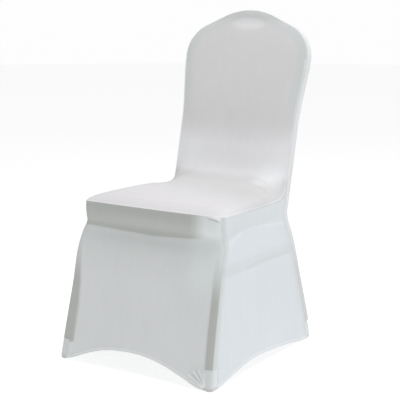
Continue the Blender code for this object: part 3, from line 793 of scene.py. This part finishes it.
def along_path(places, path):
    """Distance of each place from the path, and the length along the path to the nearest point of it."""
    line = smooth_path(path)
    nearest = np.full(len(places), np.inf)
    along = np.zeros(len(places))
    done = 0.0
    for start, end in zip(line, line[1:]):
        step = end - start
        length = np.linalg.norm(step)
        share = np.clip((places - start) @ step / length**2, 0, 1)
        distance = np.linalg.norm(places - start - share[:, None] * step, axis=1)
        closer = distance < nearest
        nearest[closer] = distance[closer]
        along[closer] = (done + share * length)[closer]
        done += length
    return nearest, along, done


def panel_places(place, panel):
    """The two directions that folds of a panel are given in."""
    return place[:, FOLD_DIRECTIONS[panel]]


def fold_strength(place, on, fold):
    """1 along the middle of a fold, fading to 0 beside it and at its ends."""
    distance, along, length = along_path(panel_places(place, fold.panel), fold.path)
    fade = ramp(along, 0, fold.taper) * ramp(length - along, 0, fold.taper)
    return ridge(distance, fold.width) * fade * on[fold.panel]


def near(points, places):
    """Distance from each place to the nearest of the points."""
    tree = KDTree(len(points))
    for i, spot in enumerate(points):
        tree.insert(spot, i)
    tree.balance()
    return np.array([tree.find(spot)[2] for spot in places])


def spread(edges):
    """Points along edges, closer together than the facets."""
    points = []
    for edge in edges:
        start, end = (vert.co for vert in edge.verts)
        count = max(1, math.ceil(edge.calc_length() / POINT_SPACING))
        points += [start.lerp(end, k / count) for k in range(count + 1)]
    return points


def seam_edges(cover):
    return [e for e in cover.edges if len({face.material_index for face in e.link_faces} - {CUP}) > 1]


def hem_edges(cover):
    return [e for e in cover.edges if e.is_boundary and e.link_faces[0].material_index != CUP]


def refine(cover):
    """Finer facets beside seams, hems and narrow folds."""
    place = places_of(cover)
    sewn = near(spread(seam_edges(cover) + hem_edges(cover)), place)
    on = membership(cover)
    wanted = sewn < EDGE_BAND
    for fold in FOLDS:
        if fold.width < FINE_FOLD:
            distance, _, _ = along_path(panel_places(place, fold.panel), fold.path)
            wanted |= (distance < FOLD_BAND) & (on[fold.panel] > 0)
    cover.verts.ensure_lookup_table()
    cover.verts.index_update()
    edges = {e for face in cover.faces if all(wanted[v.index] for v in face.verts) for e in face.edges}
    bmesh.ops.subdivide_edges(cover, edges=list(edges), cuts=EDGE_CUTS, use_grid_fill=True)


def membership(cover):
    """For each piece, 1 on its points and 0 elsewhere."""
    cover.verts.index_update()
    on = np.zeros((CUP + 1, len(cover.verts)))
    for face in cover.faces:
        for vert in face.verts:
            on[face.material_index][vert.index] = 1
    return on


def front_edge(height):
    """Depth of the front corner of the skirt at each height."""
    return np.array([front_depth(z) for z in height])


def rear_edge(height):
    """x and depth of the seam between side and outside back at each height."""
    return np.array([rear_seam(min(z, JOIN_HEIGHT))[:2] for z in height]).T


def fullness(place):
    """How far the cloth stands out at the rear corners of the skirt and at the right shoulder."""
    x, depth, height = place.T
    corner = ridge(depth - rear_edge(height)[1] - BACK_THICKNESS / 2, REAR_REACH)
    corner *= ramp(np.abs(x), *REAR_FULL_SIDES) * ramp(height, *REAR_FULL_LOW) * ramp(height, *REAR_FULL_HIGH)
    shoulder = ridge(np.hypot(x - SHOULDER_X, height - SHOULDER_Z), SHOULDER_REACH)
    return REAR_FULLNESS * corner + SHOULDER_FULLNESS * shoulder


def shape_cover(cover):
    """Moves the surface out and in by its folds, seams and hems."""
    cover.normal_update()
    place = places_of(cover)
    normal = np.array([vert.normal for vert in cover.verts])
    on = membership(cover)
    seam = near(spread(seam_edges(cover)), place)
    hem = near(spread(hem_edges(cover)), place)
    lift = SEAM_RIDGE * ridge(seam - SEAM_WIDTH / 2, SEAM_WIDTH / 2)
    lift += HEM_RIDGE * ramp(hem, HEM_WIDTH + HEM_SOFTNESS, HEM_WIDTH - HEM_SOFTNESS)
    lift -= STITCH_TROUGH * ridge(hem - STITCH_PLACE, STITCH_WIDTH)
    # painted shade in the troughs of the folds and painted highlight on their ridges
    crease_shading = np.zeros(len(place))
    for fold in FOLDS:
        strength = fold_strength(place, on, fold)
        lift += fold.lift * strength
        crease_shading += fold.tone * strength
    lift -= HAND_HOLD_DENT * hand_hold(place) * on[TOP]
    lift += fullness(place)
    for vert, shift in zip(cover.verts, normal * lift[:, None]):
        vert.co += Vector(shift)
    cover.normal_update()
    return {"hem": hem, **tones(place, on, seam, hem, crease_shading)}


# Tones: where the chair's frame shows through, painted shade and painted highlights, where cloth is double,
# and its tint


def hand_hold(place):
    """1 inside the lens-shaped hollow at the top of the inside back."""
    across = (place[:, X] - HAND_HOLD.x) / HAND_HOLD.half_width
    edge = HAND_HOLD.half_height * (1 - across**2)
    inside = ramp(edge - np.abs(place[:, HEIGHT] - HAND_HOLD.height), *HAND_HOLD_EDGE)
    return inside * (place[:, DEPTH] > BACK_FOOT_DEPTH / 2)


def leg_tone(place):
    """Dark strip of the leg, beside each corner of the front panel."""
    x, _, height = place.T
    on_right = x > 0
    rows, right, left = np.transpose(LEG_STRIP)
    width = np.where(on_right, np.interp(height, rows, right), np.interp(height, rows, left))
    inner = np.abs(x) - np.array([front_width(z) for z in height]) + width
    outer = np.where(on_right, 1.0, ramp(width - inner, *LEFT_LEG_OUTER))
    return ramp(inner / np.where(on_right, *LEG_SOFTNESS), *LEG_EDGE) * outer * ramp(height, *LEG_TOP)


def rear_leg_tone(place):
    """The fainter strips of the rear legs, behind the rear panel."""
    x, _, height = place.T
    strip = ramp(np.abs(x) - rear_edge(height)[0] + REAR_LEG_WIDTH, *REAR_LEG_EDGE)
    return strip * ramp(height, *REAR_LEG_TOP) * ramp(height, CUP_TOP - REAR_CUP_EDGE, CUP_TOP)


def band_frame_and_shade(place):
    """Grey band under the seat's front edge, darkest just below the seam: the seat seen through, and painted
    shade where the cloth turns down and in.
    """
    x, _, height = place.T
    rise = height - np.interp(x, *zip(*BAND_EDGE))
    inside = ramp(rise, *BAND_LOWER) * ramp(height - FRONT_SEAM_HEIGHT, *BAND_UPPER) * ramp(x, *BAND_END)
    return inside * (BAND_FRAME_AND_SHADE + BAND_TOP_SHADE * ramp(rise, *BAND_GAIN))


def back_border(place):
    """1 along the edge of the inside back, where the frame lies under the cloth."""
    x, _, height = np.abs(place.T)
    side = np.array([board_half_width(min(z, SHOULDER_Z)) for z in height]) - x
    crown = np.array([crown_height(min(v, SHOULDER_X)) for v in x]) - height
    return ramp(np.minimum(side, crown), *BORDER_EDGE) * ramp(height, *BORDER_FROM)


def side_tones(place):
    """What shows through a side panel and how green it is: rail, pinch, leg's edge and rear edge."""
    x, depth, height = place.T
    lower, upper = (start + slope * depth for start, slope in (RAIL_LOWER, RAIL_UPPER))
    rail = ramp(height - lower, *RAIL_LOWER_EDGE) * ramp(height - upper, *RAIL_UPPER_EDGE)
    pinch = ramp(height - np.interp(depth, *zip(*PINCH_ARC)), *PINCH_EDGE) * ramp(depth, *PINCH_FROM)
    from_front = depth - front_edge(height)
    corner = ramp(from_front, *SIDE_CORNER_EDGE)
    rear = ramp(rear_edge(height)[1] - depth, *SIDE_REAR_EDGE)
    shown = RAIL_TONE.shown * rail + PINCH_TONE.shown * pinch + REAR_TONE.shown * rear
    shown += CORNER_TONE.shown * corner * (1 - pinch)
    turn = ramp(from_front, *SIDE_TURN_EDGE) * ramp(height, *LEG_TOP)
    shown += TURN_SHOWN * turn * (height > CUP_TOP) * (x > 0)
    green = RAIL_TONE.green * rail + PINCH_TONE.green * pinch + REAR_TONE.green * rear
    return shown, np.clip(green + CORNER_TONE.green * corner, SIDE_GREEN, 1)


def patch(place, middle, radius):
    """1 in the middle of a round patch, fading to 0 at its radius."""
    return ramp(np.linalg.norm(place - middle, axis=1), radius, 0.0)


def tones(place, on, seam, hem, crease_shading):
    """The fields that the cloth's colour follows."""
    x, depth, height = place.T
    front, top = on[FRONT], on[TOP]
    sides = np.maximum(on[RIGHT], on[LEFT]) * (1 - front)
    side_shown, side_green = side_tones(place)
    over_cup = ramp(height, CUP_TOP, CUP_TOP - CUP_EDGE)
    leg = leg_tone(place) * front
    border = back_border(place) * top
    hollow = hand_hold(place) * top
    crest = ramp(height - HAND_HOLD.height, *CREST_FROM) * top * (1 - hollow)
    web = patch(place, WEB_PLACE, WEB_RADIUS) * top
    seat_rear = ramp(height, *SEAT_TOP) * ramp(depth + SEAT_SKEW * x, *SEAT_FROM) * top * (1 - web)

    shown = THINNESS + crease_shading + side_shown * sides
    shown += LEG_SHOWN * leg * (1 - over_cup) + band_frame_and_shade(place) * front * (1 - leg)
    shown += REAR_LEG_SHOWN * rear_leg_tone(place) * on[BACK]
    shown += BORDER_SHOWN * border + CREST_SHOWN * crest + HAND_HOLD_SHOWN * hollow
    # painted highlight on the cloth of the web, painted shade at the back of the seat and between the folds
    # of the fan
    shown += WEB_OFF_FRAME_HIGHLIGHT * web + SEAT_SHADE * seat_rear
    shown += FAN_SHADE * patch(place, FAN_PLACE, FAN_RADIUS) * front
    shown += HEM_LINE * ridge(hem, HEM_LINE_WIDTH) + TURN_LINE * ridge(hem - TURN_LINE_PLACE, STITCH_WIDTH)
    shown += SEAM_LINE * ridge(seam, SEAM_LINE_WIDTH)
    # painted highlight beside the seams of the top panel
    seam_highlight = ridge(seam - SEAM_HIGHLIGHT_PLACE, SEAM_HIGHLIGHT_WIDTH)
    shown -= SEAM_HIGHLIGHT * seam_highlight * top * (height < SHOULDER_CENTRE_Z)
    fields = {
        "shown": shown,
        "green": side_green * sides + BORDER_GREEN * border,
        # double cloth, lighter cloth over the hollow, and painted highlight on the web
        "double": CUP_LIGHTNESS * leg * over_cup + WEB_HIGHLIGHT * web + HAND_HOLD_DOUBLE * hollow,
    }
    for tone in TONES:
        inside = tone.amount * on[tone.panel]
        for direction, start, full in tone.edges:
            inside = inside * ramp(place[:, direction], start, full)
        fields[tone.field] += inside
    return fields


# Pieces cut from the surface


def seam_pulls(faces, label):
    """The edges where a piece ends, and how far each of their points is drawn in to leave the seam's gap."""
    rim, pulls = [], {}
    for face in faces:
        for loop in face.loops:
            others = [other for other in loop.edge.link_faces if other is not face]
            if others and others[0].material_index == label:
                continue
            ends = (loop.vert, loop.link_loop_next.vert)
            rim.append(ends)
            inward = face.normal.cross(ends[1].co - ends[0].co).normalized()
            gap = SEAM_GAP / 2 if others else 0.0
            for vert in ends:
                pulls.setdefault(vert, []).append((inward, gap))
    return rim, pulls


def cut_piece(name, surface, label, fields, shift):
    """One piece of the surface as a closed sheet: outer skin, inner skin and the rim between them."""
    faces = [face for face in surface.faces if face.material_index == label]
    rim, pulls = seam_pulls(faces, label)
    verts = sorted({vert for face in faces for vert in face.verts}, key=lambda vert: vert.index)
    spot = {vert: i for i, vert in enumerate(verts)}
    count = len(verts)
    outer, inner = [], []
    for vert in verts:
        place = vert.co + shift
        if vert in pulls:
            meeting = pulls[vert]
            drawn = sum((inward * gap for inward, gap in meeting), Vector())
            place += drawn / (1 + max(0.0, meeting[0][0].dot(meeting[-1][0])))
        outer.append(place)
        inner.append(place - vert.normal * CLOTH * min(THICKEST, vert.calc_shell_factor()))
    skins = [[spot[vert] for vert in face.verts] for face in faces]
    skins += [[spot[vert] + count for vert in reversed(face.verts)] for face in faces]
    skins += [[spot[b], spot[a], spot[a] + count, spot[b] + count] for a, b in rim]
    data = bpy.data.meshes.new(name)
    data.from_pydata(outer + inner, [], skins)
    chosen = [vert.index for vert in verts]
    for field, values in fields.items():
        layer = data.attributes.new(field, "FLOAT", "POINT")
        layer.data.foreach_set("value", np.tile(values[chosen], 2).astype(np.float32))
    data.shade_smooth()
    data.set_sharp_from_angle(angle=SHARP_TURN)
    piece = bpy.data.objects.new("cloth_" + name, data)
    bpy.context.scene.collection.objects.link(piece)
    return piece


# Foot cups


def cup_loop(height, front):
    """Outline of a right foot cup at one height: round the leg corner, then back behind it. Also the
    share of any rounding that each point takes, which is 0 where the cup meets the hems beside it."""
    if front:
        count = COLUMN_POINTS * CUP_COLUMNS
        outer = [front_point(u, height) for u in np.linspace(FREE_SHARE - CUP_LAP, 1, count + 1)]
        outer += [side_point(k / COLUMN_POINTS / SIDE_COLUMNS, height) for k in range(1, count + 1)]
        corner = point(front_width(height), front_depth(height), height)
    else:
        seam = rear_seam(height)
        corner = seam + point(0, BACK_THICKNESS, 0)
        border = corner - point(EDGE_WRAP, 0, 0)
        outer = [bend(seam, corner, border, w / REAR_STEPS) for w in range(REAR_STEPS + 1)]
    first, last = outer[0], outer[-1]
    handles = (last + CUP_DEPTH * (first - corner), first + CUP_DEPTH * (last - corner))
    steps = np.linspace(0, 1, BEHIND_STEPS + 1)
    behind = [loose_bend(last, *handles, first, share) for share in steps[1:-1]]
    return outer + behind, from_ends(len(outer)) + from_ends(len(steps))[1:-1]


def from_ends(count):
    """0 at both ends of a row of points, growing to 1 over the points beside them."""
    return [min(1.0, min(i, count - 1 - i) / END_STEPS) for i in range(count)]


def drawn_in(loop, shares, distance):
    """A level outline moved inwards, each point by its share of the distance."""
    inset = []
    for i, place in enumerate(loop):
        before, after = unit(place - loop[i - 1]), unit(loop[(i + 1) % len(loop)] - place)
        outward = unit(np.cross(before + after, UP))
        square = max(FLATTEST, float(np.dot(outward, np.cross(after, UP))))
        inset.append(place - outward * distance * shares[i] / square)
    return inset


def cup_level(level, front):
    """Outline of a cup at one level, from 1 at its top to 0 at the floor."""
    height = (row_height(SKIRT_ROWS - CUP_ROWS, JOIN_HEIGHT, HEM_LOW) - SEAM_GAP) * level**LEVEL_CROWDING
    below = max(0.0, SOLE_ROUNDING - height)
    inset = SOLE_INSET * (SOLE_ROUNDING - math.sqrt(max(0.0, SOLE_ROUNDING**2 - below**2)))
    outline, shares = cup_loop(height, front)
    rise = END_RISE * (1 - level) ** 3
    return [
        place + rise * (1 - share) * UP
        for place, share in zip(drawn_in(outline, shares, inset), shares)
    ]


def cup_surface(front, mirror):
    """Wall, rounded foot and flat sole of a foot cup, as one surface."""
    surface = bmesh.new()
    loops = [cup_level(level, front) for level in np.linspace(1, 0, CUP_LEVELS)]
    outline = loops[-1]
    middle = sum(outline) / len(outline)
    for share in np.arange(1, SOLE_RINGS) / SOLE_RINGS:
        loops.append([place * (1 - share) + middle * share for place in outline])
    rows = [[surface.verts.new(place * mirror) for place in loop] for loop in loops]
    centre = surface.verts.new(middle * mirror)
    faces = []
    for i in range(len(outline)):
        n = (i + 1) % len(outline)
        faces += [[upper[i], lower[i], lower[n], upper[n]] for upper, lower in zip(rows, rows[1:])]
        faces.append([rows[-1][i], centre, rows[-1][n]])
    for corners in faces:
        surface.faces.new(corners if mirror is KEEP else corners[::-1])
    surface.normal_update()
    surface.verts.index_update()
    place = places_of(surface)
    lift = cup_creases(place, front) @ [fold.lift for fold in CUP_FOLDS]
    for vert, height in zip(surface.verts, lift):
        vert.co += vert.normal * height
    surface.normal_update()
    return surface


def cup_creases(place, front):
    """How strongly each fold of the fan runs on over the front of a cup."""
    facing = place[:, DEPTH] < FAN_PLACE[DEPTH] + FAN_WRAP if front else np.zeros(len(place), bool)
    on = {FRONT: facing.astype(float)}
    return np.transpose([fold_strength(place, on, fold) for fold in CUP_FOLDS])


def cup_fields(surface, front):
    place = places_of(surface)
    height = place[:, HEIGHT]
    # the forward face of a front cup gets painted shade: darker, greener and less light than the rest of the
    # cup
    facing = ramp(place[:, DEPTH] - front_edge(height), *CUP_FRONT_EDGE)
    # painted shade and highlight of the fan's folds where they run on over the cup
    crease_shading = cup_creases(place, front) @ [fold.tone for fold in CUP_FOLDS]
    return {
        "hem": np.ones(len(place)),
        "shown": THINNESS + crease_shading + FOOT_SHADE * ramp(height, *FOOT_EDGE) + CUP_FRONT_SHADE * facing,
        "green": CUP_GREEN + (CUP_FRONT_GREEN - CUP_GREEN) * facing,
        "double": CUP_LIGHTNESS + (CUP_FRONT_LIGHTNESS - CUP_LIGHTNESS) * facing,
    }


# Materials


def link(tree, source, target):
    tree.links.new(source, target)


def add_node(tree, kind, **settings):
    node = tree.nodes.new(kind)
    for key, value in settings.items():
        if key in node.inputs:
            node.inputs[key].default_value = value
        else:
            setattr(node, key, value)
    return node


def set_values(node, values):
    for socket, value in values.items():
        node.inputs[socket].default_value = value


def value_of(tree, name):
    return add_node(tree, "ShaderNodeAttribute", attribute_name=name).outputs["Fac"]


def calculate(tree, operation, *values):
    node = add_node(tree, "ShaderNodeMath", operation=operation)
    for socket, value in zip(node.inputs, values):
        if isinstance(value, (int, float)):
            socket.default_value = value
        else:
            link(tree, value, socket)
    return node.outputs[0]


def mix_colour(tree, share, first, second):
    node = add_node(tree, "ShaderNodeMix", data_type="RGBA", clamp_factor=True)
    for index, value in ((0, share), (6, first), (7, second)):
        socket = node.inputs[index]
        if isinstance(value, tuple):
            socket.default_value = (*value, 1)
        elif isinstance(value, (int, float)):
            socket.default_value = value
        else:
            link(tree, value, socket)
    return node.outputs[2]


def knit(name, cloth, wale_turn):
    """White stretch knit: fine wales and courses, faint streaks, tones from inside with painted shade and
    painted highlights, and a soft sheen.
    """
    material = bpy.data.materials.new(name)
    material.use_nodes = True
    tree = material.node_tree
    shader = tree.nodes["Principled BSDF"]
    place = add_node(tree, "ShaderNodeTexCoord").outputs["Object"]
    turned = add_node(tree, "ShaderNodeMapping", Rotation=wale_turn)
    link(tree, place, turned.inputs["Vector"])

    streaks = add_node(tree, "ShaderNodeTexNoise", Scale=1.0, Detail=3.0, Roughness=0.6)
    stretched = add_node(tree, "ShaderNodeMapping", Scale=STREAK_SCALE)
    link(tree, turned.outputs[0], stretched.inputs["Vector"])
    link(tree, stretched.outputs[0], streaks.inputs["Vector"])
    clouds = add_node(tree, "ShaderNodeTexNoise", Scale=CLOUD_SCALE, Detail=2.0)
    link(tree, place, clouds.inputs["Vector"])
    unevenness = calculate(tree, "ADD", streaks.outputs["Fac"], clouds.outputs["Fac"])
    unevenness = calculate(tree, "SUBTRACT", unevenness, 1.0)
    shade = calculate(tree, "MULTIPLY_ADD", unevenness, UNEVENNESS, 1.0)

    colour = mix_colour(tree, value_of(tree, "green"), cloth, GREENER_COLOUR)
    colour = mix_colour(tree, value_of(tree, "double"), colour, DOUBLE_AND_HIGHLIGHT_COLOUR)
    colour = mix_colour(tree, value_of(tree, "shown"), colour, FRAME_AND_SHADE_COLOUR)
    turned_hem = add_node(tree, "ShaderNodeMapRange", interpolation_type="SMOOTHSTEP")
    link(tree, value_of(tree, "hem"), turned_hem.inputs["Value"])
    hem_range = {"From Min": HEM_WIDTH, "From Max": HEM_DOUBLE_FROM, "To Min": 0.0, "To Max": HEM_DOUBLE}
    set_values(turned_hem, hem_range)
    colour = mix_colour(tree, turned_hem.outputs[0], colour, DOUBLE_AND_HIGHLIGHT_COLOUR)
    shaded = add_node(tree, "ShaderNodeVectorMath", operation="SCALE")
    link(tree, colour, shaded.inputs[0])
    link(tree, shade, shaded.inputs["Scale"])
    link(tree, shaded.outputs[0], shader.inputs["Base Color"])

    rows = []
    for direction, scale in (("X", WALE_SCALE), ("Z", COURSE_SCALE)):
        wave = add_node(tree, "ShaderNodeTexWave", bands_direction=direction, Scale=scale, Distortion=0.6)
        link(tree, turned.outputs[0], wave.inputs["Vector"])
        rows.append(wave.outputs["Fac"])
    loops = calculate(tree, "MULTIPLY", *rows)
    bump = add_node(tree, "ShaderNodeBump", Strength=0.25, Distance=0.0002)
    link(tree, loops, bump.inputs["Height"])
    link(tree, bump.outputs[0], shader.inputs["Normal"])

    set_values(shader, KNIT_SURFACE)
    return material


def plain(name, colour, glow_colour, glow):
    material = bpy.data.materials.new(name)
    material.use_nodes = True
    shader = material.node_tree.nodes["Principled BSDF"]
    set_values(shader, PLAIN_SURFACE)
    shader.inputs["Base Color"].default_value = (*colour, 1)
    shader.inputs["Emission Color"].default_value = (*glow_colour, 1)
    shader.inputs["Emission Strength"].default_value = glow
    return material


# Stage


def add_floor():
    bpy.ops.mesh.primitive_circle_add(
        vertices=FLOOR_SIDES, radius=FLOOR_RADIUS, fill_type="NGON", location=(0, 0, FLOOR_HEIGHT)
    )
    floor = bpy.context.object
    floor.name = "floor"
    floor.data.materials.append(plain("floor", FLOOR_COLOUR, FLOOR_COLOUR, FLOOR_GLOW))


def add_backdrop():
    """A white dome that is only seen: the world lights the cover through it."""
    bpy.ops.mesh.primitive_uv_sphere_add(
        segments=BACKDROP_SEGMENTS, ring_count=BACKDROP_RINGS, radius=BACKDROP_RADIUS
    )
    backdrop = bpy.context.object
    backdrop.name = "backdrop"
    backdrop.data.materials.append(plain("backdrop", BLACK, WHITE, BACKDROP_GLOW))
    for ray in ("diffuse", "glossy", "transmission", "volume_scatter", "shadow"):
        setattr(backdrop, "visible_" + ray, False)


def add_light(name, place, size, power, colour):
    data = bpy.data.lights.new(name, "AREA")
    data.shape = "DISK"
    data.size = size
    data.energy = power
    data.color = colour
    light = bpy.data.objects.new(name, data)
    light.location = place
    light.rotation_euler = (Vector(LIT_POINT) - Vector(place)).to_track_quat("-Z", "Y").to_euler()
    bpy.context.scene.collection.objects.link(light)


def add_camera():
    data = bpy.data.cameras.new("camera")
    data.lens = LENS
    data.sensor_width = SENSOR_WIDTH
    data.clip_end = FARTHEST
    camera = bpy.data.objects.new("camera", data)
    camera.location = CAMERA_PLACE
    camera.rotation_euler = (math.radians(90 - CAMERA_PITCH), 0, math.radians(CAMERA_AZIMUTH))
    bpy.context.scene.collection.objects.link(camera)
    bpy.context.scene.camera = camera


def set_stage():
    add_floor()
    add_backdrop()
    for light in LIGHTS:
        add_light(*light)
    world = bpy.data.worlds.new("world")
    bpy.context.scene.world = world
    world.use_nodes = True
    background = world.node_tree.nodes["Background"]
    background.inputs["Color"].default_value = (*WORLD_COLOUR, 1)
    background.inputs["Strength"].default_value = WORLD_LIGHT
    bpy.context.scene.view_settings.view_transform = "Standard"
    add_camera()


# The whole


def declare(piece, name, material):
    piece.data.materials.append(material)
    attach(piece, "root")
    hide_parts(name)


def main():
    set_stage()
    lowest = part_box("foot_pocket_front_right")[0].y
    shift = Vector((0, lowest - front_depth(0), 0))
    across = knit("knit_across", CLOTH_COLOUR, (0, 0, 0))
    # the sides' copy of the knit is tinted as by the bluish side light: painted light
    along = knit("knit_side_lit", SIDE_LIT_COLOUR, (0, 0, math.radians(90)))
    cover = whole_cover()
    soften(cover)
    refine(cover)
    fields = shape_cover(cover)
    for label, name in enumerate(PIECES):
        piece = cut_piece(name, cover, label, fields, shift)
        declare(piece, name, along if label in (RIGHT, LEFT) else across)
    cover.free()
    for end, front in (("front", True), ("rear", False)):
        for side, mirror in (("right", KEEP), ("left", MIRROR)):
            name = f"foot_pocket_{end}_{side}"
            surface = cup_surface(front, mirror)
            piece = cut_piece(name, surface, 0, cup_fields(surface, front), shift)
            surface.free()
            declare(piece, name, across)


main()
